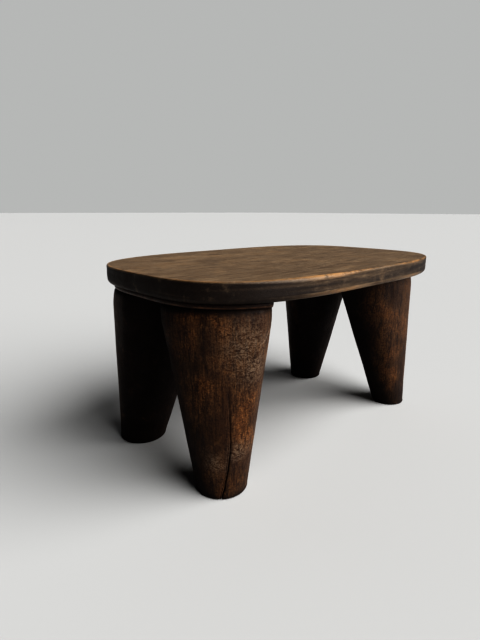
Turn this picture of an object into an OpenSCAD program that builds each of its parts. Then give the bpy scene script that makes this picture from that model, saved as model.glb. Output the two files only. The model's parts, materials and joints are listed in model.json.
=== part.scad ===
// Low four-legged headrest in dark wood.
// A flat oval seat board sits on two stepped end pads, and each pad on a pair of
// tapered legs. A round tenon on top of each leg passes through its pad and stands
// in a blind mortise under the seat.
// X runs along the seat, Y across it and Z up, from the floor's centre under it.

/* [Seat] */
// Overall length of the seat board
seat_length = 330; // [270:1:400]
// Overall width of the seat board
seat_width = 214; // [176:1:258]
// Height of the seat board's rim
seat_thickness = 16; // [13:0.5:22]
// Exponent of the seat's oval: 2 is an ellipse, higher is squarer
seat_squareness = 3.3; // [2.6:0.1:5]
// Radius of the worn upper edge
upper_edge_radius = 2; // [1:0.25:3]
// Radius of the rounded lower edge
lower_edge_radius = 4; // [2:0.25:6]

/* [End pads] */
// Height of the step between the seat and the legs
pad_height = 4.5; // [3.5:0.5:8]
// How far the pad's edge stands in from the seat's rim
pad_inset = 5; // [4:0.5:9]
// Distance along the long side from the seat's end to where the left pad stops
left_pad_side = 57; // [50:1:74]
// Distance along the long side from the seat's end to where the right pad stops
right_pad_side = 20; // [17:1:28]
// How far the pads reach past the shoulders of the legs, towards the seat's middle
pad_margin = 1; // [0.5:0.25:4]

/* [Legs] */
// Overall height, from the floor to the seat's top
overall_height = 172; // [142:1:208]
// Size of a leg's top along the seat
leg_top_length = 100; // [82:1:120]
// Size of a leg's top across the seat
leg_top_width = 72; // [60:1:78]
// Exponent of the leg's top outline: 2 is an ellipse
leg_squareness = 2.3; // [2:0.1:3]
// Distance from the seat's end to the leg's top, before the leg is held inside the oval
leg_end_setback = 1.5; // [0:0.5:8]
// Space between the tops of the two legs at one end
leg_gap = 5; // [2:0.5:10]
// Radius of a regular foot
foot_radius = 20; // [16:0.5:25]
// How far a foot stands out from its leg's top, along the seat
foot_splay_length = 12.5; // [0:0.5:20]
// How far a foot stands out from its leg's top, across the seat
foot_splay_width = 22; // [10:0.5:26]
// How far the leg's shoulder draws in under the pad
neck_depth = 2; // [0.5:0.25:4]
// Height over which the shoulder draws in
neck_height = 16; // [6:1:24]
// Radius of the rounded edge under each foot
foot_edge_radius = 2; // [1:0.25:4]

/* [Joinery] */
// Radius of the round tenon on each leg
tenon_radius = 14; // [10:0.5:18]
// How far the tenon stands into the seat board
tenon_depth = 10; // [6:0.5:10.5]
// Glue gap around each tenon
glue_gap = 0.15; // [0.1:0.05:0.4]
// Free depth over each tenon
mortise_relief = 0.5; // [0.3:0.1:1]

/* [Hidden] */
// Each leg by name: its end and its side, how far the carver let its foot drift outwards
// along the seat, outwards across it, and in radius, and how much longer and wider its top is.
LEGS = [
    ["leg_front_left", -1, -1, -0.5, -5.5, 1, -20, 18],
    ["leg_front_right", 1, -1, 1, 1.5, -2.5, 0, 0],
    ["leg_back_left", -1, 1, 3.5, 1.5, 2, 0, 0],
    ["leg_back_right", 1, 1, -7, -4, -0.5, 0, 0],
];
// Each pad: its end, how long its sides are, its front and back legs, and the angle round
// their tops where its edge starts to follow them.
PADS = [
    ["end_pad_left", -1, left_pad_side, LEGS[0], LEGS[2], 132],
    ["end_pad_right", 1, right_pad_side, LEGS[1], LEGS[3], 84],
];

WOOD_SEAT = [0.30, 0.20, 0.13];
WOOD_PAD = [0.18, 0.11, 0.07];
WOOD_LEG = [0.24, 0.15, 0.10];

outline_steps = 120;
section_steps = 56;
round_steps = 4;
tenon_steps = 64;
leg_levels = 6;
pad_last_angle = 204;
pad_angle_step = 6;
overlap = 1;

half_length = seat_length / 2;
half_width = seat_width / 2;
seat_underside = overall_height - seat_thickness;
leg_top_z = seat_underside - pad_height;
tenon_top_z = seat_underside + tenon_depth;
leg_top_x = half_length - leg_end_setback - leg_top_length / 2;
leg_top_y = (leg_gap + leg_top_width) / 2;

// A point of a superellipse with half sizes a and b.
function squircle(a, b, n, t) = [
    a * sign(cos(t)) * pow(abs(cos(t)), 2 / n),
    b * sign(sin(t)) * pow(abs(sin(t)), 2 / n),
];

// The seat's oval, set in from the rim by inset.
function seat_oval(inset) = [
    for (i = [0:outline_steps - 1])
        squircle(half_length - inset, half_width - inset, seat_squareness, 360 * i / outline_steps)
];

// A point pulled straight towards the seat's centre until it is inside the oval set in by inset.
function held_in_oval(p, inset) =
    let (
        reach = pow(abs(p[0]) / (half_length - inset), seat_squareness)
            + pow(abs(p[1]) / (half_width - inset), seat_squareness)
    )
    p * min(1, pow(reach, -1 / seat_squareness));

// Each ring is a height and its outline; the rings are joined in order, from the bottom up.
module loft(rings) {
    n = len(rings[0][1]);
    last = len(rings) - 1;
    points = [for (r = rings) for (p = r[1]) [p[0], p[1], r[0]]];
    sides = [
        for (k = [0:last - 1]) for (i = [0:n - 1])
            let (j = (i + 1) % n)
            each [
                [k * n + i, (k + 1) * n + j, k * n + j],
                [k * n + i, (k + 1) * n + i, (k + 1) * n + j],
            ]
    ];
    bottom = [for (i = [0:n - 1]) i];
    top = [for (i = [n - 1:-1:0]) last * n + i];
    polyhedron(points, concat([bottom, top], sides), convexity = 4);
}

// Places a child at the top of each leg whose end matches, or at all four for end 0.
module at_leg_tops(end) {
    for (leg = LEGS)
        if (end == 0 || leg[1] == end)
            translate([leg[1] * leg_top_x, leg[2] * leg_top_y, 0]) children();
}

// The holes that the tenons stand in, through the pads and into the seat.
module mortises(end) {
    at_leg_tops(end)
        translate([0, 0, leg_top_z - overlap])
            cylinder(
                h = tenon_top_z + mortise_relief - leg_top_z + overlap,
                r = tenon_radius + glue_gap,
                $fn = tenon_steps
            );
}

// The flat oval board that the head or the sitter rests on.
module seat_board() {
    lower = [
        for (k = [0:round_steps])
            let (a = 90 * k / round_steps)
            [
                seat_underside + lower_edge_radius * (1 - cos(a)),
                seat_oval(lower_edge_radius * (1 - sin(a))),
            ]
    ];
    upper = [
        for (k = [0:round_steps])
            let (a = 90 * k / round_steps)
            [
                overall_height - upper_edge_radius * (1 - sin(a)),
                seat_oval(upper_edge_radius * (1 - cos(a))),
            ]
    ];
    color(WOOD_SEAT)
        difference() {
            loft(concat(lower, upper));
            mortises(0);
        }
}

// A point of a leg's top outline, drawn in by inset, before it is held inside the oval.
function leg_top(leg, inset, a) =
    let (
        half_top_length = (leg_top_length + leg[6]) / 2,
        half_top_width = (leg_top_width + leg[7]) / 2
    )
    [half_length - leg_end_setback - half_top_length, leg_gap / 2 + half_top_width]
        + squircle(half_top_length - inset, half_top_width - inset, leg_squareness, a);

// A pad's outline: the seat's oval, set in, round the end, then back across the seat along
// the inner sides of its two legs' shoulders.
function pad_outline(pad) =
    let (
        stop_x = half_length - pad[2],
        stop_angle = acos(pow(stop_x / (half_length - pad_inset), seat_squareness / 2)),
        round_end = [
            for (i = [0:section_steps])
                squircle(
                    half_length - pad_inset,
                    half_width - pad_inset,
                    seat_squareness,
                    stop_angle * (2 * i / section_steps - 1)
                )
        ],
        back_side = [
            for (a = [pad[5]:pad_angle_step:pad_last_angle])
                leg_top(pad[4], neck_depth - pad_margin, a)
        ],
        front_side = [
            for (a = [pad_last_angle:-pad_angle_step:pad[5]])
                let (p = leg_top(pad[3], neck_depth - pad_margin, a))
                [p[0], -p[1]]
        ]
    )
    [for (p = concat(round_end, back_side, front_side)) [pad[1] * p[0], p[1]]];

// The stepped pad between the seat and the two legs of one end.
module end_pad(pad) {
    color(WOOD_PAD)
        difference() {
            translate([0, 0, leg_top_z])
                linear_extrude(pad_height)
                    polygon(pad_outline(pad));
            mortises(pad[1]);
        }
}

// A leg's section at a share of its height, from 0 at the round foot to 1 at the top, drawn
// in by inset. The top is held inside the oval, so that its shoulder meets the pad's edge flush.
function leg_section(leg, share, inset) =
    let (
        foot_x = leg_top_x + foot_splay_length + leg[3],
        foot_y = leg_top_y + foot_splay_width + leg[4],
        foot_r = foot_radius + leg[5] - inset
    )
    [
        for (i = [0:section_steps - 1])
            let (
                a = 360 * i / section_steps,
                foot = [foot_x, foot_y] + squircle(foot_r, foot_r, 2, a),
                top = held_in_oval(leg_top(leg, inset, a), pad_inset - neck_depth + inset),
                p = foot + (top - foot) * share
            )
            [leg[1] * p[0], leg[2] * p[1]]
    ];

// One tapered leg: a rounded foot, a straight taper, a drawn-in shoulder and the tenon.
module carved_leg(leg) {
    foot = [
        for (k = [0:round_steps])
            let (
                a = 90 * k / round_steps,
                z = foot_edge_radius * (1 - cos(a))
            )
            [z, leg_section(leg, z / leg_top_z, foot_edge_radius * (1 - sin(a)))]
    ];
    taper_top = leg_top_z - neck_height;
    taper = [
        for (k = [1:leg_levels])
            let (z = foot_edge_radius + (taper_top - foot_edge_radius) * k / leg_levels)
            [z, leg_section(leg, z / leg_top_z, 0)]
    ];
    shoulder = [
        for (k = [1:round_steps])
            let (
                rise = k / round_steps,
                z = taper_top + neck_height * rise
            )
            [z, leg_section(leg, z / leg_top_z, neck_depth * rise * rise)]
    ];
    color(WOOD_LEG)
        union() {
            // Mirrored legs turn their outline round, so their rings are reversed.
            loft([
                for (r = concat(foot, taper, shoulder))
                    leg[1] * leg[2] > 0 ? r : [r[0], [for (i = [section_steps - 1:-1:0]) r[1][i]]]
            ]);
            translate([leg[1] * leg_top_x, leg[2] * leg_top_y, leg_top_z - overlap])
                cylinder(h = tenon_top_z - leg_top_z + overlap, r = tenon_radius, $fn = tenon_steps);
        }
}

seat_board();
for (pad = PADS)
    end_pad(pad);
for (leg = LEGS)
    carved_leg(leg);
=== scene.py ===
import json
import math

import bpy
import numpy as np
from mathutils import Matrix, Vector, noise
from mathutils.bvhtree import BVHTree


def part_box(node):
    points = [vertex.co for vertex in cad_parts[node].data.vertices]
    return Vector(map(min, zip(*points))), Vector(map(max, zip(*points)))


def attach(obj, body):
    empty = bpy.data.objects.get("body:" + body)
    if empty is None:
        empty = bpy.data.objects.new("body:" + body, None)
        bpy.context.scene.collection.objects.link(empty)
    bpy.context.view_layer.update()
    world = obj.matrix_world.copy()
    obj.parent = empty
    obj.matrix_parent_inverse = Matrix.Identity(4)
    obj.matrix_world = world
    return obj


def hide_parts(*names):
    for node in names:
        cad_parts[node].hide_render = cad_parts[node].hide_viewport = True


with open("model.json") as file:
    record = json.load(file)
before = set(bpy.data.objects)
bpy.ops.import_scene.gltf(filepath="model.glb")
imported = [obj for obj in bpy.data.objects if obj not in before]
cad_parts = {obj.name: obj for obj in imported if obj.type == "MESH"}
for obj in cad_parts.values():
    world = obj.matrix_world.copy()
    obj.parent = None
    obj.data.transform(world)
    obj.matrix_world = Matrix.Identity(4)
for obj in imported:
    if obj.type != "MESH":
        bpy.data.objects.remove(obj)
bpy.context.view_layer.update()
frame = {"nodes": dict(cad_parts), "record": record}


# ---- The legs -------------------------------------------------------------------------
# Four stout wooden legs, each roughed out with an adze and scraped down to a round foot. A
# round tenon on top goes through the pad into the board, and a knife cut under the pad frees
# the shoulder. Years of smoke and handling have blackened the wood and polished its high spots.
# Painted shade darkens them under the pad, on their inner faces and on the three other legs.

LEG_NODES = ["leg_front_left", "leg_front_right", "leg_back_left", "leg_back_right"]
LEG_LEVELS = 210
LEG_TURNS = 352
# The levels crowd towards the foot, and four more follow its rounded edge.
LEVEL_CROWDING = 1.06
FOOT_EDGE_LEVELS = (0.0004, 0.0009, 0.0015, 0.0022)
RING_EVENING = 14
SKIN_MARGIN = 0.00005
SOLE_SHARES = (0.05, 0.35, 0.7, 0.93)
LEDGE_SHARES = (0.3, 0.65, 1.0)
TENON_LEVELS = 9
TENON_FIRST_LEVEL = 0.0015
TENON_CHAMFER = 0.0008
TENON_CROWN = 0.004
PAD_MARGIN = 0.001

# The knife cut under the pad.
UNDERCUT_DEPTH = 0.0012
UNDERCUT_HEIGHT = 0.0026
UNDERCUT_CURVE = 1.6

# The adze's hollows, the slow swell between them and the scraper's fine lines. The last few
# millimetres over the floor carry none of them.
SCALLOP_ACROSS = 0.013
SCALLOP_ALONG = 0.040
SCALLOP_DEPTH = 0.00042
SWELL_SIZE = 0.038
SWELL_DEPTH = 0.00075
SCRAPE_ACROSS = 0.0016
SCRAPE_ALONG = 0.030
SCRAPE_DEPTH = 0.00016
SWELL_PROUD = 0.4
SCALLOP_SUNK = 0.5
PLAIN_FOOT = 0.004
# The marks are laid out round a leg that hardly splays, so they don't lean with it.
MARKS_SPLAY = 0.25

# Painted shade under the pad, and darkening round the sole and up the foot: how dark, and between which
# heights.
SHOULDER_PAINTED_SHADE = 0.9
SHOULDER_PAINTED_SHADE_DEPTHS = (0.006, 0.001)
SOLE_DARKENING = 0.45
SOLE_DARKENING_HEIGHTS = (0.0005, 0.006)
FOOT_DARKENING = 0.5
FOOT_DARKENING_HEIGHTS = (0.004, 0.040)
UNDER_SOLE = 0.7
# Painted shade: the faces that look at each other across the board, under it, are darkened.
INNER_PAINTED_SHADE = 0.95
INNER_PAINTED_SHADE_FROM = -0.8
INNER_PAINTED_SHADE_TO = 0.5
# Painted shade: how much darker each of the other legs is painted than the front left one.
LEG_PAINTED_SHADE = {"leg_front_left": 0.0, "leg_front_right": 0.35, "leg_back_left": 0.1, "leg_back_right": 0.1}

# The drying crack in the front left leg, from the foot up: height, and angle round the leg.
CRACKED_LEG = "leg_front_left"
CRACK = [(0.000, -130), (0.012, -123), (0.025, -118), (0.043, -114.5), (0.064, -117), (0.100, -121)]
CRACK_TOP = 0.100
CRACK_FADE = 0.8
CRACK_DEPTH = 0.0013
CRACK_WIDTH = 0.0003
CRACK_SINK = 0.0004
CRACK_SINK_WIDTH = 0.0012
CRACK_WANDER = 0.0006
CRACK_WANDER_LENGTH = 0.006
SIDE_SPLIT = 0.0017
SIDE_SPLIT_SHARE = 0.45
CROWD_BEARING = -119
CROWDING = 0.42
# An old knife nick high on the same leg: its upper and lower end, as height and angle.
NICK = [(0.1335, -75), (0.1255, -87)]
NICK_DEPTH = 0.0004
NICK_WIDTH = 0.0010
NICK_SLANT = 0.7
NICK_GREY = 2.2
# Where that leg is painted grey: height, angle, radius. The first two are rubbed wear, the last two a
# painted sheen high on the leg.
GREY_WEAR_AND_SHEEN = [(0.031, -141, 0.0085), (0.041, -101, 0.0080), (0.126, -103, 0.0180), (0.110, -95, 0.014)]


def cad_skin(node):
    """The CAD surface of a node, to measure the piece from."""
    mesh = frame["nodes"][node].data
    return BVHTree.FromPolygons([v.co for v in mesh.vertices], [p.vertices for p in mesh.polygons])


def tenon_of(node):
    """The tenon's middle, its radius and its top, and the height of the shoulder under it."""
    points = np.array([v.co for v in frame["nodes"][node].data.vertices])
    top = points[:, 2].max()
    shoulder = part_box("end_pad_left")[0].z
    round_part = points[points[:, 2] > shoulder + PAD_MARGIN]
    low, high = round_part.min(0), round_part.max(0)
    return (low + high) / 2, (high[0] - low[0]) / 2, top, shoulder


def softened(values, passes):
    """Evens out a closed ring of numbers."""
    for _ in range(passes):
        values = (np.roll(values, 1) + 2 * values + np.roll(values, -1)) / 4
    return values


def step_up(x, low, high):
    """Rises smoothly from 0 at low to 1 at high."""
    t = np.clip((x - low) / (high - low), 0, 1)
    return t * t * (3 - 2 * t)


def hump(x, size):
    """Falls smoothly from 1 where x is 0, over about size to either side."""
    return np.exp(-((x / size) ** 2))


def mesh_from_rings(name, rings, attributes):
    """One closed skin over a stack of rings of points, with a point at either end."""
    levels, turns = len(rings), len(rings[0])
    points = np.concatenate([np.asarray(r) for r in rings])
    ends = np.array([np.mean(rings[0], 0), np.mean(rings[-1], 0)])
    faces = []
    for k in range(levels - 1):
        for i in range(turns):
            j = (i + 1) % turns
            faces.append((k * turns + i, k * turns + j, (k + 1) * turns + j, (k + 1) * turns + i))
    first, last = len(points), len(points) + 1
    for i in range(turns):
        j = (i + 1) % turns
        faces.append((first, j, i))
        faces.append((last, (levels - 1) * turns + i, (levels - 1) * turns + j))
    mesh = bpy.data.meshes.new(name)
    mesh.from_pydata(np.concatenate([points, ends]).tolist(), [], faces)
    for key, values in attributes.items():
        values = np.concatenate([np.asarray(v) for v in values])
        values = np.append(values, [values[0], values[-1]])
        mesh.attributes.new(key, "FLOAT", "POINT").data.foreach_set("value", values.astype(np.float32))
    mesh.polygons.foreach_set("use_smooth", [True] * len(mesh.polygons))
    piece = bpy.data.objects.new(name, mesh)
    bpy.context.scene.collection.objects.link(piece)
    return piece


def tool_marks(point, seed):
    """How deep the adze and the scraper have cut at a point of a leg, and how proud it stands."""
    shift = Vector((seed, seed * 1.7, seed * 0.6))
    swell = noise.noise(point / SWELL_SIZE + shift)
    cell = Vector((point.x / SCALLOP_ACROSS, point.y / SCALLOP_ACROSS, point.z / SCALLOP_ALONG))
    hollow = max(0, 1 - noise.voronoi(cell + shift)[0][0]) ** 2
    fine = Vector((point.x / SCRAPE_ACROSS, point.y / SCRAPE_ACROSS, point.z / SCRAPE_ALONG))
    scrape = noise.noise(fine + shift)
    depth = SWELL_DEPTH * (0.5 + 0.5 * swell)
    depth = depth + SCALLOP_DEPTH * hollow + SCRAPE_DEPTH * (0.5 + 0.5 * scrape)
    return depth, 0.5 + SWELL_PROUD * swell - SCALLOP_SUNK * hollow


def arc_from(angles, bearing, reach):
    """How far each point of a ring lies from a bearing in degrees, measured round the ring."""
    return (np.mod(angles - math.radians(bearing) + math.pi, 2 * math.pi) - math.pi) * reach


def crowded(angles):
    """Draws a ring's points together round the crack, so that its lips stay sharp."""
    off = angles - math.radians(CROWD_BEARING)
    angles = angles + CROWDING * np.sin(off + math.pi) * np.exp(-((np.cos(off) - 1) ** 2))
    return np.sort(np.mod(angles, 2 * math.pi))


def shade_and_darkening(z, shoulder):
    """How dark a leg is painted at a height: painted shade under the pad, and darker towards the foot.
    """
    below, over = SHOULDER_PAINTED_SHADE_DEPTHS
    under_pad = SHOULDER_PAINTED_SHADE * step_up(z, shoulder - below, shoulder - over)
    sole = SOLE_DARKENING * (1 - step_up(z, *SOLE_DARKENING_HEIGHTS))
    foot = FOOT_DARKENING * (1 - step_up(z, *FOOT_DARKENING_HEIGHTS))
    return under_pad + sole + foot


def crack_at(z, angles, reach):
    """The crack at a height: how much wood it takes from the ring, and how dark it leaves it."""
    bearing = np.interp(z, [c[0] for c in CRACK], [c[1] for c in CRACK])
    wander = CRACK_WANDER * noise.noise(Vector((0, 3, z / CRACK_WANDER_LENGTH)))
    off = arc_from(angles, bearing, reach) + wander
    # It gapes at the foot and closes towards its top.
    gape = 1 - step_up(z, 0.0, CRACK_TOP)
    width = CRACK_WIDTH * (0.45 + 1.1 * gape)
    gash = hump(off, width) + SIDE_SPLIT_SHARE * hump(off + SIDE_SPLIT, width)
    sink = hump(off, CRACK_SINK_WIDTH * (0.6 + 0.5 * gape))
    alive = 1 - step_up(z, CRACK_TOP * CRACK_FADE, CRACK_TOP)
    taken = alive * (CRACK_DEPTH * gash * (0.15 + 0.85 * gape) + CRACK_SINK * sink)
    darkened = alive * (0.25 * sink + 0.8 * gash) * (0.4 + 0.6 * gape)
    return taken, darkened


def nick_at(z, angles, reach):
    """How far the knife nick is cut round the ring at a height, from 0 to 1."""
    (upper, upper_bearing), (lower, lower_bearing) = NICK
    if not lower < z < upper:
        return np.zeros(len(angles))
    bearing = np.interp(z, [lower, upper], [lower_bearing, upper_bearing])
    return np.exp(-((arc_from(angles, bearing, reach) * NICK_SLANT / NICK_WIDTH) ** 2))


def leg(node, seed):
    skin = cad_skin(node)
    mounts = frame["record"]["mounts"]
    foot = np.array(next(m for m in mounts if m["name"] == node.replace("leg", "foot"))["pos_m"])
    middle, tenon_radius, tenon_top, shoulder = tenon_of(node)
    top = np.array([middle[0], middle[1], shoulder])
    angles = np.linspace(0, 2 * math.pi, LEG_TURNS, endpoint=False)
    if node == CRACKED_LEG:
        angles = crowded(angles)
    ways = np.column_stack([np.cos(angles), np.sin(angles), 0 * angles])
    # Painted shade on the faces that look at each other across the board.
    inner_side = step_up(-ways[:, 1] * math.copysign(1, foot[1]), INNER_PAINTED_SHADE_FROM, INNER_PAINTED_SHADE_TO)
    heights = shoulder * (np.linspace(0, 1, LEG_LEVELS) ** LEVEL_CROWDING)
    heights[1 : 1 + len(FOOT_EDGE_LEVELS)] = FOOT_EDGE_LEVELS
    rings, proud, dark, rubbed_and_sheen = [], [], [], []
    for z in np.sort(heights):
        axis = foot + (top - foot) * (z / shoulder)
        probe = Vector((axis[0], axis[1], min(max(z, SKIN_MARGIN), shoulder - SKIN_MARGIN)))
        reach = softened(np.array([skin.ray_cast(probe, Vector(w))[3] for w in ways]), RING_EVENING)
        plumb = axis * [MARKS_SPLAY, MARKS_SPLAY, 1]
        marks = np.array([tool_marks(Vector(plumb + w * r), seed) for w, r in zip(ways, reach)])
        under_pad = step_up(z, shoulder - UNDERCUT_HEIGHT, shoulder)
        reach = reach - marks[:, 0] * step_up(z, 0.0, PLAIN_FOOT)
        reach = reach - UNDERCUT_DEPTH * under_pad**UNDERCUT_CURVE
        # The dark attribute: painted shade under the pad, on the inner faces and on the three other
        # legs, and darker towards the foot.
        shade = shade_and_darkening(z, shoulder) + LEG_PAINTED_SHADE[node] + INNER_PAINTED_SHADE * inner_side
        grey = np.zeros(LEG_TURNS)
        if node == CRACKED_LEG:
            taken, darkened = crack_at(z, angles, reach)
            reach = reach - taken
            shade = np.maximum(shade, darkened)
            for height, bearing, size in GREY_WEAR_AND_SHEEN:
                arc = arc_from(angles, bearing, reach)
                grey = np.maximum(grey, np.exp(-(arc**2 + (z - height) ** 2) / size**2))
            cut = nick_at(z, angles, reach)
            reach = reach - NICK_DEPTH * cut
            grey = np.maximum(grey, NICK_GREY * cut)
        rings.append(np.array([axis[0], axis[1], z]) + ways * reach[:, None])
        proud.append(marks[:, 1])
        dark.append(shade)
        rubbed_and_sheen.append(grey)
    # The foot's flat underside comes first, and the shoulder and the tenon last.
    sole = [rings[0] * [s, s, 1] + foot * [1 - s, 1 - s, 0] for s in SOLE_SHARES]
    centre = middle * [1, 1, 0]
    circle = centre + ways * tenon_radius
    neck = circle + [0, 0, shoulder]
    ledge = [rings[-1] + (neck - rings[-1]) * s for s in LEDGE_SHARES]
    rises = np.linspace(shoulder + TENON_FIRST_LEVEL, tenon_top - TENON_CHAMFER, TENON_LEVELS)
    tenon = [circle + [0, 0, z] for z in rises]
    crown = [centre + ways * r + [0, 0, tenon_top] for r in (tenon_radius - TENON_CHAMFER, TENON_CROWN)]
    extra = ledge + tenon + crown
    flat = np.zeros(LEG_TURNS)
    piece = mesh_from_rings(
        node.replace("leg", "carved_leg"),
        sole + rings + extra,
        {
            "proud": [flat] * len(sole) + proud + [flat] * len(extra),
            "dark": [flat + UNDER_SOLE] * len(sole) + dark + [flat] * len(extra),
            "rubbed_and_sheen": [flat] * len(sole) + rubbed_and_sheen + [flat] * len(extra),
        },
    )
    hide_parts(node)
    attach(piece, "root")
    return piece


# Near-black, for soot and for painted shade.
SOOT_AND_SHADE = (0.0085, 0.0030, 0.0016)
# Pale grey, for rubbed wear and for a painted sheen.
GREY_RUB_AND_SHEEN = (0.230, 0.168, 0.118)
# Marks that don't follow the grain: how many of them go to a metre.
FLECKS = 330.0
PATCHES = 27.0
SMEARS = 75.0


def seasoned_wood(
    name, along, across, stretch, deep, body, bright, golden, edge, streak, mottle, blotch, shine
):
    """Hand-worked wood under a dark patina, with painted shade and sheen where the attributes carry
    them. along is the grain's direction, 0 for X and 2 for Z.
    """
    finish = bpy.data.materials.new(name)
    finish.use_nodes = True
    tree = finish.node_tree
    tree.nodes.clear()

    def fill(socket, value):
        if isinstance(value, bpy.types.NodeSocket):
            tree.links.new(value, socket)
        else:
            socket.default_value = value

    def put(kind, inputs=None, **settings):
        made = tree.nodes.new(kind)
        for key, value in settings.items():
            setattr(made, key, value)
        for key, value in (inputs or {}).items():
            fill(made.inputs[key], value)
        return made

    def cloud(where, scale, detail, roughness, twist):
        made = put("ShaderNodeTexNoise", {"Vector": where, "Scale": scale, "Detail": detail})
        made.inputs["Roughness"].default_value = roughness
        made.inputs["Distortion"].default_value = twist
        return made.outputs["Fac"]

    def laid(across_size, along_size):
        """The place on the wood, scaled so that a mark is this wide and this long."""
        scale = [1 / across_size] * 3
        scale[along] = 1 / along_size
        return put("ShaderNodeMapping", {"Vector": place, "Scale": scale}).outputs[0]

    def ramp(value, low, high):
        made = put("ShaderNodeMapRange", {"Value": value, "From Min": low, "From Max": high})
        made.interpolation_type = "SMOOTHSTEP"
        return made.outputs[0]

    def sums(operation, a, b):
        return put("ShaderNodeMath", {0: a, 1: b}, operation=operation).outputs[0]

    def times(a, b):
        return sums("MULTIPLY", a, b)

    def plus(a, b):
        return sums("ADD", a, b)

    def mix(share, under, over, kind="MIX"):
        made = put("ShaderNodeMix", data_type="RGBA", blend_type=kind)
        for socket, value in ((0, share), (6, under), (7, over)):
            fill(made.inputs[socket], value)
        return made.outputs[2]

    def touched(key):
        return put("ShaderNodeAttribute", attribute_name=key).outputs["Fac"]

    place = put("ShaderNodeTexCoord").outputs["Object"]
    fibre = cloud(laid(across, across * stretch), 1.0, 7.0, 0.62, 0.4)
    band = cloud(laid(across * 4.5, across * stretch * 4.3), 1.0, 4.0, 0.62, 1.3)
    hair = cloud(laid(across * 0.42, across * 12), 1.0, 3.0, 0.62, 0.0)
    pore = cloud(laid(across * 0.5, across * 7), 1.0, 2.0, 0.62, 0.0)
    curl = cloud(laid(across * 3.2, across * 0.8), 1.0, 4.0, 0.6, 1.6)
    fleck = cloud(place, FLECKS, 5.0, 0.66, 1.9)
    patch = cloud(place, PATCHES, 4.0, 0.55, 0.6)
    smear = cloud(place, SMEARS, 5.0, 0.6, 0.8)

    # The bare wood: broad bands, then pale fibres, then flecks and curls.
    colour = mix(ramp(band, 0.38, 0.56), (*deep, 1), (*body, 1))
    colour = mix(times(ramp(fibre, 0.46, 0.66), streak), colour, (*bright, 1))
    colour = mix(times(ramp(fleck, 0.5, 0.34), mottle), colour, (*deep, 1))
    colour = mix(times(ramp(fleck, 0.52, 0.7), mottle * 0.7), colour, (*bright, 1))
    curly = times(ramp(curl, 0.50, 0.38), times(ramp(patch, 0.36, 0.56), mottle * 0.75))
    colour = mix(curly, colour, (*deep, 1))
    # The patina: dark and golden patches as wide as a thumb.
    colour = mix(times(ramp(patch, 0.60, 0.36), blotch), colour, (*deep, 1))
    colour = mix(times(ramp(patch, 0.48, 0.66), blotch), colour, (*golden, 1), "OVERLAY")
    # Fine dark lines along the grain, and open pores filled with dirt.
    colour = mix(times(ramp(hair, 0.42, 0.30), 0.5), colour, (*deep, 1))
    colour = mix(times(ramp(pore, 0.40, 0.30), 0.75), colour, (*[c * 0.35 for c in deep], 1))
    # Use: worn where the wood stands proud, grey where rubbed and where a sheen is painted, and
    # near-black where the dark attribute says, partly soot and partly painted shade.
    raised = times(ramp(touched("proud"), 0.55, 1.05), ramp(smear, 0.3, 0.62))
    colour = mix(raised, colour, (*edge, 1))
    # Grey: rubbed wear, and a painted sheen high on the cracked leg.
    grey = times(touched("rubbed_and_sheen"), ramp(times(plus(fleck, curl), 0.5), 0.44, 0.60))
    colour = mix(sums("MINIMUM", times(grey, 0.8), 0.85), colour, (*GREY_RUB_AND_SHEEN, 1))
    soot_and_shade = times(touched("dark"), ramp(smear, 0.05, 0.48))
    colour = mix(sums("MINIMUM", soot_and_shade, 0.95), colour, (*SOOT_AND_SHADE, 1))

    # Soot and painted shade are matt, and what stands proud is polished.
    rough = plus(times(fibre, 0.30), 0.53 - 0.3 * shine)
    rough = plus(rough, times(ramp(smear, 0.35, 0.7), 0.12))
    rough = plus(rough, times(touched("dark"), 0.2))
    rough = sums("SUBTRACT", rough, times(ramp(touched("proud"), 0.5, 0.9), 0.2))
    relief = plus(times(fibre, 0.5), times(hair, 0.35))
    relief = plus(relief, times(fleck, 0.4 * mottle + 0.1))
    relief = plus(relief, times(curl, 0.45 * mottle))
    relief = sums("SUBTRACT", relief, times(ramp(pore, 0.40, 0.28), 0.5))
    bump = put("ShaderNodeBump", {"Height": relief, "Strength": 0.55, "Distance": 0.0007})
    shader = put(
        "ShaderNodeBsdfPrincipled",
        {
            "Base Color": colour,
            "Roughness": rough,
            "Normal": bump.outputs[0],
            "Specular IOR Level": 0.20 + 0.24 * shine,
            "Coat Weight": 0.12 * shine,
            "Coat Roughness": 0.32,
        },
    )
    out = put("ShaderNodeOutputMaterial")
    tree.links.new(shader.outputs[0], out.inputs[0])
    return finish


leg_finish = seasoned_wood(
    "leg_patina",
    along=2,
    across=0.0011,
    stretch=9,
    deep=(0.024, 0.0083, 0.0034),
    body=(0.117, 0.053, 0.020),
    bright=(0.267, 0.143, 0.060),
    golden=(0.64, 0.57, 0.49),
    edge=(0.280, 0.133, 0.050),
    streak=0.6,
    mottle=0.9,
    blotch=0.75,
    shine=0.45,
)
for number, leg_node in enumerate(LEG_NODES):
    leg(leg_node, 3.1 + 5.3 * number).data.materials.append(leg_finish)


# ---- The end pads ---------------------------------------------------------------------
# A thin wooden step under each end of the board. It is pared to a soft bead that follows
# the board's end, sits back from its rim, and is bored through for the two tenons.

PAD_NODES = ["end_pad_left", "end_pad_right"]
PAD_TURNS = 420
PAD_EVENING = 3
PAD_OUTSIDE = 0.2
PAD_FACE_SHARES = (0.15, 0.4, 0.7, 0.9)
PAD_FACE_DARK = 0.8
BEAD_ROUND = 0.0011
BEAD_STEPS = 13
BEAD_WAVE = 0.00035
BEAD_WAVES_ROUND = 9
BEAD_WAVES_UP = 60
# The bead is worn along a line this share of its height down from its top.
BEAD_CREST = 0.72
BEAD_CREST_SIZE = 0.2
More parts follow.
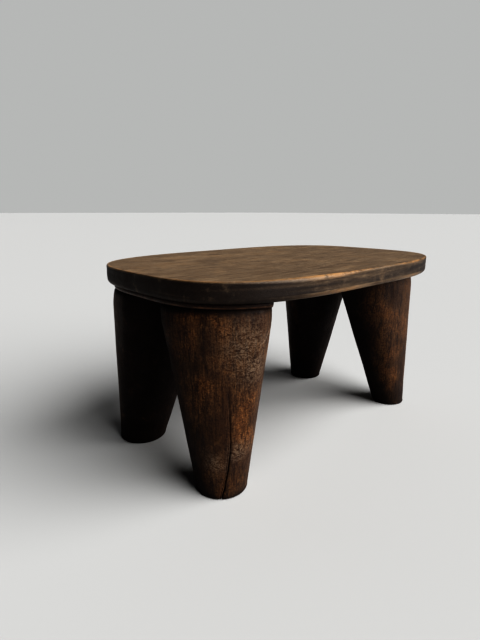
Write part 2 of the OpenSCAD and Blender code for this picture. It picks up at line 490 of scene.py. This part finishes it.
# Painted shade: the bead is black up under the board, and darkened along its lower edge over the legs.
BEAD_PAINTED_SHADE = 0.95
BEAD_PAINTED_SHADE_SIZE = 0.22
BEAD_FOOT_PAINTED_SHADE = 0.5
BEAD_FOOT = 0.97
GLUE_GAP = 0.00015
HOLE_BELOW = 0.01
HOLE_RELIEF = 0.0005
HOLE_SIDES = 96


def tenon_holes(piece, tenons):
    """Bores the tenons' holes into a piece, a glue gap wider than the tenons."""
    cutters = []
    for middle, radius, top, shoulder in tenons:
        low, high = shoulder - HOLE_BELOW, top + HOLE_RELIEF
        bpy.ops.mesh.primitive_cylinder_add(
            vertices=HOLE_SIDES,
            radius=radius + GLUE_GAP,
            depth=high - low,
            location=(middle[0], middle[1], (low + high) / 2),
        )
        cutters.append(bpy.context.object)
        cut = piece.modifiers.new("tenon_hole", "BOOLEAN")
        cut.operation = "DIFFERENCE"
        cut.solver = "EXACT"
        cut.object = cutters[-1]
    bpy.context.view_layer.update()
    bored = bpy.data.meshes.new_from_object(piece.evaluated_get(bpy.context.evaluated_depsgraph_get()))
    piece.modifiers.clear()
    piece.data = bored
    for cutter in cutters:
        bpy.data.objects.remove(cutter)


def end_pad(node, seed):
    low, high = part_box(node)
    middle = Vector(((low.x + high.x) / 2, 0, (low.z + high.z) / 2))
    skin = cad_skin(node)
    angles = np.linspace(0, 2 * math.pi, PAD_TURNS, endpoint=False)
    ways = np.column_stack([np.cos(angles), np.sin(angles), 0 * angles])
    far = [middle + Vector(w) * PAD_OUTSIDE for w in ways]
    reach = np.array([PAD_OUTSIDE - skin.ray_cast(f, middle - f)[3] for f in far])
    reach = softened(reach, PAD_EVENING)
    rings, proud, dark = [], [], []

    def face_ring(z, share):
        rings.append(np.array([*middle.xy, z]) + ways * (reach[:, None] - BEAD_ROUND) * share)
        proud.append(np.zeros(PAD_TURNS))
        dark.append(np.full(PAD_TURNS, PAD_FACE_DARK))

    for share in PAD_FACE_SHARES:
        face_ring(low.z, share)
    for turn in np.linspace(-90, 90, BEAD_STEPS):
        t = math.radians(turn)
        z = (low.z + high.z) / 2 + (high.z - low.z) / 2 * math.sin(t)
        shift = Vector((seed, 0, z * BEAD_WAVES_UP))
        wave = np.array([noise.noise(Vector(w) * BEAD_WAVES_ROUND + shift) for w in ways])
        bead = reach - BEAD_ROUND * (1 - math.cos(t)) - BEAD_WAVE * (0.5 + 0.5 * wave)
        rings.append(np.array([*middle.xy, z]) + ways * bead[:, None])
        down = (high.z - z) / (high.z - low.z)
        crest = math.exp(-(((down - BEAD_CREST) / BEAD_CREST_SIZE) ** 2))
        proud.append(np.full(PAD_TURNS, 0.25 + 0.65 * crest) + 0.25 * wave)
        under_board = BEAD_PAINTED_SHADE * math.exp(-((down / BEAD_PAINTED_SHADE_SIZE) ** 2))
        dark.append(np.full(PAD_TURNS, under_board + BEAD_FOOT_PAINTED_SHADE * (down > BEAD_FOOT)))
    for share in PAD_FACE_SHARES[::-1]:
        face_ring(high.z, share)
    name = node.replace("end_pad", "beaded_pad")
    piece = mesh_from_rings(name, rings, {"proud": proud, "dark": dark})
    side = node.split("_")[-1]
    tenon_holes(piece, [tenon_of(n) for n in LEG_NODES if n.endswith(side)])
    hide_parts(node)
    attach(piece, "root")
    return piece


pad_finish = seasoned_wood(
    "pad_patina",
    along=0,
    across=0.0010,
    stretch=22,
    deep=(0.008, 0.0033, 0.002),
    body=(0.033, 0.0133, 0.0067),
    bright=(0.070, 0.031, 0.0133),
    golden=(0.60, 0.50, 0.45),
    edge=(0.110, 0.050, 0.021),
    streak=0.8,
    mottle=0.35,
    blotch=0.5,
    shine=0.5,
)
for number, pad_node in enumerate(PAD_NODES):
    end_pad(pad_node, 11.0 + 4.7 * number).data.materials.append(pad_finish)


# ---- The board ------------------------------------------------------------------------
# The flat oval of wood that the head rests on, with its grain along its length. The top is
# scraped level and has sunk a little, and hands have rounded its arris and worn it back to
# tan wood. Its underside keeps the adze marks, and holds the legs' tenons in blind holes.

BOARD_TURNS = 560
BOARD_SQUARENESS = 3.3
OVAL_FINENESS = 24000
ROUND_STEPS = 12
# The worn upper edge, rounder in places, and most at the front left corner.
ARRIS_ROUND = 0.0011
ARRIS_EXTRA = 0.0009
WORN_CORNER = (-0.080, -0.100)
WORN_CORNER_SIZE = 0.045
WORN_CORNER_ROUND = 0.0020
WOBBLES = 14
# The sunk top: how deep, how square the hollow is, and how its floor curves and waves.
DISH = 0.0009
DISH_SQUARENESS = 2.4
DISH_CURVE = 1.2
TOP_WAVE = 0.00022
TOP_WAVES_ALONG = 14
TOP_WAVES_ACROSS = 26
TOP_SHARES = [0.01, *np.linspace(0.03, 0.9, 44), *np.linspace(0.915, 0.995, 9)]
RUBBED_EDGE = 0.0032
# The rim: its waves and ripples, and its darkening, partly patina and partly painted shade, deepest at
# its two ends.
RIM_WAVE = 0.0005
RIM_WAVES = 45
RIM_LEVELS = 20
RIPPLES_ROUND = 16
RIPPLES_UP = 300
END_SHADE_FROM = 0.045
END_SHADE_TO = 0.125
LOWER_ROUND = 0.0040
# The adze marks underneath, which fade out before the pads.
UNDERSIDE_MARKS = 0.0005
UNDERSIDE_MARK_ALONG = 0.034
UNDERSIDE_MARK_ACROSS = 0.017
UNDERSIDE_LEVELS = 40
UNDERSIDE_DARK = 0.35
MARKS_END = 0.118
MARKS_FADE = (0.055, 0.075)


def oval(half_length, half_width, squareness, count):
    """Evenly spaced points round the board's oval, and the outward directions there."""
    t = np.linspace(0, 2 * math.pi, OVAL_FINENESS, endpoint=False)
    x = half_length * np.sign(np.cos(t)) * np.abs(np.cos(t)) ** (2 / squareness)
    y = half_width * np.sign(np.sin(t)) * np.abs(np.sin(t)) ** (2 / squareness)
    step = np.hypot(np.diff(x, append=x[0]), np.diff(y, append=y[0]))
    along = np.concatenate([[0], np.cumsum(step)])
    wanted = np.linspace(0, along[-1], count, endpoint=False)
    x = np.interp(wanted, along, np.append(x, x[0]))
    y = np.interp(wanted, along, np.append(y, y[0]))
    out_x = np.sign(x) * (np.abs(x) / half_length) ** (squareness - 1) / half_length
    out_y = np.sign(y) * (np.abs(y) / half_width) ** (squareness - 1) / half_width
    size = np.hypot(out_x, out_y)
    flat = np.zeros(count)
    return np.column_stack([x, y, flat]), np.column_stack([out_x / size, out_y / size, flat])


def board():
    low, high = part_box("seat_board")
    outline, outward = oval(high.x, high.y, BOARD_SQUARENESS, BOARD_TURNS)
    wobble = np.array([noise.noise(Vector(p) * WOBBLES) for p in outline])
    rim_wave = np.array([noise.noise(Vector(p) * RIM_WAVES + Vector((4, 1, 0))) for p in outline])
    to_corner = np.hypot(outline[:, 0] - WORN_CORNER[0], outline[:, 1] - WORN_CORNER[1])
    corner = hump(to_corner, WORN_CORNER_SIZE)
    arris = ARRIS_ROUND + ARRIS_EXTRA * (0.5 + 0.5 * wobble) + WORN_CORNER_ROUND * corner
    # Painted shade, deepest towards the board's two ends.
    end_shade = step_up(np.abs(outline[:, 0]), END_SHADE_FROM, END_SHADE_TO)
    rings, proud, dark = [], [], []

    def top_height(points):
        along, across = np.abs(points[:, 0]) / high.x, np.abs(points[:, 1]) / high.y
        share = np.minimum(1, along**DISH_SQUARENESS + across**DISH_SQUARENESS)
        spots = [Vector((p[0] * TOP_WAVES_ALONG, p[1] * TOP_WAVES_ACROSS, 0)) for p in points]
        waves = np.array([noise.noise(spot) for spot in spots])
        return high.z - DISH * (1 - share) ** DISH_CURVE - TOP_WAVE * (0.5 + 0.5 * waves)

    # The top, from its middle out.
    inner = outline - outward * arris[:, None]
    for share in TOP_SHARES:
        points = inner * share
        points[:, 2] = top_height(points)
        rings.append(points)
        near = hump(np.linalg.norm(points[:, :2] - outline[:, :2], axis=1), RUBBED_EDGE)
        proud.append(0.35 + 0.5 * near + 0.3 * near * wobble)
        dark.append(np.zeros(BOARD_TURNS))
    # The arris, where down goes from 0 on the top to 1 on the rim.
    edge_height = top_height(inner)
    for turn in np.linspace(90, 0, ROUND_STEPS):
        t = math.radians(turn)
        down = 1 - turn / 90
        points = outline - outward * (arris * (1 - math.cos(t)))[:, None]
        points[:, 2] = edge_height - arris * (1 - math.sin(t))
        points -= outward * (RIM_WAVE * (0.5 + 0.5 * rim_wave) * down)[:, None]
        rings.append(points)
        proud.append(1.0 - 0.45 * down + 0.5 * wobble)
        # The arris darkens towards the rim: partly patina, partly painted shade.
        dark.append((0.55 + 0.38 * end_shade) * down**1.2 - 0.15 * wobble)
    # The rim.
    rim_top = edge_height - arris
    rim_bottom = low.z + LOWER_ROUND
    for share in np.linspace(0, 1, RIM_LEVELS)[1:-1]:
        z = rim_top + (rim_bottom - rim_top) * share
        spots = np.column_stack([outline[:, :2] * RIPPLES_ROUND, z * RIPPLES_UP])
        ripple = np.array([noise.noise(Vector(spot)) for spot in spots])
        points = outline - outward * (RIM_WAVE * (0.5 + 0.35 * rim_wave + 0.3 * ripple))[:, None]
        points[:, 2] = z
        rings.append(points)
        proud.append(np.full(BOARD_TURNS, 0.46 + 0.1 * step_up(share, 0.7, 1)) + 0.5 * ripple)
        # The rim is darkened: partly patina, partly painted shade.
        dark.append(0.66 + 0.32 * end_shade - 0.4 * ripple)
    # The rounded lower edge.
    for turn in np.linspace(0, 90, ROUND_STEPS):
        t = math.radians(turn)
        inset = LOWER_ROUND * (1 - math.cos(t)) + RIM_WAVE * 0.5 * (1 + rim_wave) * (1 - turn / 90)
        points = outline - outward * inset[:, None]
        points[:, 2] = low.z + LOWER_ROUND * (1 - math.sin(t))
        rings.append(points)
        worn = 0.52 + 0.2 * math.sin(math.radians(2 * turn))
        proud.append(np.full(BOARD_TURNS, worn) + 0.5 * wobble)
        # The lower edge is darkened: partly patina, partly painted shade.
        dark.append(0.46 + 0.46 * end_shade + 0.1 * step_up(turn, 45, 90) - 0.15 * wobble)
    # The underside, back to its middle.
    under = outline - outward * LOWER_ROUND
    for share in np.linspace(0.99, 0.02, UNDERSIDE_LEVELS):
        points = under * share
        cells = points / [UNDERSIDE_MARK_ALONG, UNDERSIDE_MARK_ACROSS, 1] + [0, 0, 7.0]
        marks = np.array([max(0, 1 - noise.voronoi(Vector(cell))[0][0]) ** 2 for cell in cells])
        away = step_up(MARKS_END - np.abs(points[:, 0]), *MARKS_FADE)
        points[:, 2] = low.z + UNDERSIDE_MARKS * marks * away
        rings.append(points)
        proud.append(0.45 - 0.4 * marks)
        dark.append(np.full(BOARD_TURNS, UNDERSIDE_DARK))
    # The rings run from the top down, so they are turned over to face the skin outwards.
    piece = mesh_from_rings("oval_board", rings[::-1], {"proud": proud[::-1], "dark": dark[::-1]})
    tenon_holes(piece, [tenon_of(n) for n in LEG_NODES])
    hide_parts("seat_board")
    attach(piece, "root")
    return piece


# The board's colours are lighter than the legs', partly its own wood and partly a painted sheen on its
# top.
board_finish_and_sheen = seasoned_wood(
    "board_patina_and_sheen",
    along=0,
    across=0.0010,
    stretch=22,
    deep=(0.099, 0.060, 0.031),
    body=(0.195, 0.129, 0.073),
    bright=(0.352, 0.255, 0.163),
    golden=(0.62, 0.57, 0.50),
    edge=(0.420, 0.240, 0.105),
    streak=0.9,
    mottle=0.22,
    blotch=0.35,
    shine=0.75,
)
board().data.materials.append(board_finish_and_sheen)


# ---- Floor, light and camera ----------------------------------------------------------
# A plain pale floor under an even grey sky, lit by one broad window at the front right and a
# faint glow from the wall behind. The camera stands close to the board's front left corner,
# a little above it.

FLOOR_HALF = 30.0
FLOOR_COLOUR = (0.52, 0.52, 0.517)
SKY_COLOUR = (0.50, 0.505, 0.50)
SKY_LIGHT = 0.012
SKY_SEEN = 0.68
CAMERA_PLACE = Vector((-0.3237, -0.2922, 0.2176))
CAMERA_AIM = Vector((0.0042, 0.0643, 0.0939))
CAMERA_TILT = 0.17
CAMERA_NEAR = 0.01
FOCAL_LENGTH = 24.2
SENSOR_WIDTH = 36

floor_mesh = bpy.data.meshes.new("floor")
corners = [(x * FLOOR_HALF, y * FLOOR_HALF, 0) for x, y in ((-1, -1), (1, -1), (1, 1), (-1, 1))]
floor_mesh.from_pydata(corners, [], [(0, 1, 2, 3)])
floor = bpy.data.objects.new("floor", floor_mesh)
bpy.context.scene.collection.objects.link(floor)
floor_paint = bpy.data.materials.new("pale_floor")
floor_paint.use_nodes = True
floor_shader = floor_paint.node_tree.nodes["Principled BSDF"]
floor_shader.inputs["Base Color"].default_value = (*FLOOR_COLOUR, 1)
floor_shader.inputs["Roughness"].default_value = 0.9
floor_shader.inputs["Specular IOR Level"].default_value = 0.2
floor.data.materials.append(floor_paint)

# The sky is seen as a pale wall, but gives only a little light.
world = bpy.data.worlds.new("soft_sky")
bpy.context.scene.world = world
world.use_nodes = True
sky = world.node_tree
backdrop = sky.nodes["Background"]
backdrop.inputs["Color"].default_value = (*SKY_COLOUR, 1)
seen = sky.nodes.new("ShaderNodeLightPath")
level = sky.nodes.new("ShaderNodeMapRange")
level.inputs["To Min"].default_value = SKY_LIGHT
level.inputs["To Max"].default_value = SKY_SEEN
sky.links.new(seen.outputs["Is Camera Ray"], level.inputs["Value"])
sky.links.new(level.outputs[0], backdrop.inputs["Strength"])


def broad_light(name, bearing, rise, spread, energy, colour):
    """A far, broad light. bearing is the way it comes from, in degrees from +X, and rise its height."""
    light = bpy.data.lights.new(name, "SUN")
    light.angle = math.radians(spread)
    light.energy = energy
    light.color = colour
    hung = bpy.data.objects.new(name, light)
    across, up = math.radians(bearing), math.radians(rise)
    way = Vector((math.cos(across) * math.cos(up), math.sin(across) * math.cos(up), math.sin(up)))
    hung.rotation_euler = way.to_track_quat("Z", "Y").to_euler()
    bpy.context.scene.collection.objects.link(hung)


broad_light("window", bearing=-64, rise=39, spread=66, energy=4.1, colour=(1.0, 0.998, 0.99))
broad_light("far_wall_glow", bearing=62, rise=32, spread=90, energy=0.24, colour=(0.96, 0.98, 1.0))

camera = bpy.data.cameras.new("camera")
camera.sensor_width = SENSOR_WIDTH
camera.lens = FOCAL_LENGTH
camera.clip_start = CAMERA_NEAR
camera_object = bpy.data.objects.new("camera", camera)
camera_object.location = CAMERA_PLACE
camera_object.rotation_euler = (CAMERA_PLACE - CAMERA_AIM).to_track_quat("Z", "Y").to_euler()
camera_object.rotation_euler.rotate_axis("Z", math.radians(CAMERA_TILT))
bpy.context.scene.collection.objects.link(camera_object)
bpy.context.scene.camera = camera_object
bpy.context.scene.view_settings.view_transform = "Standard"
bpy.context.scene.view_settings.look = "Very High Contrast"
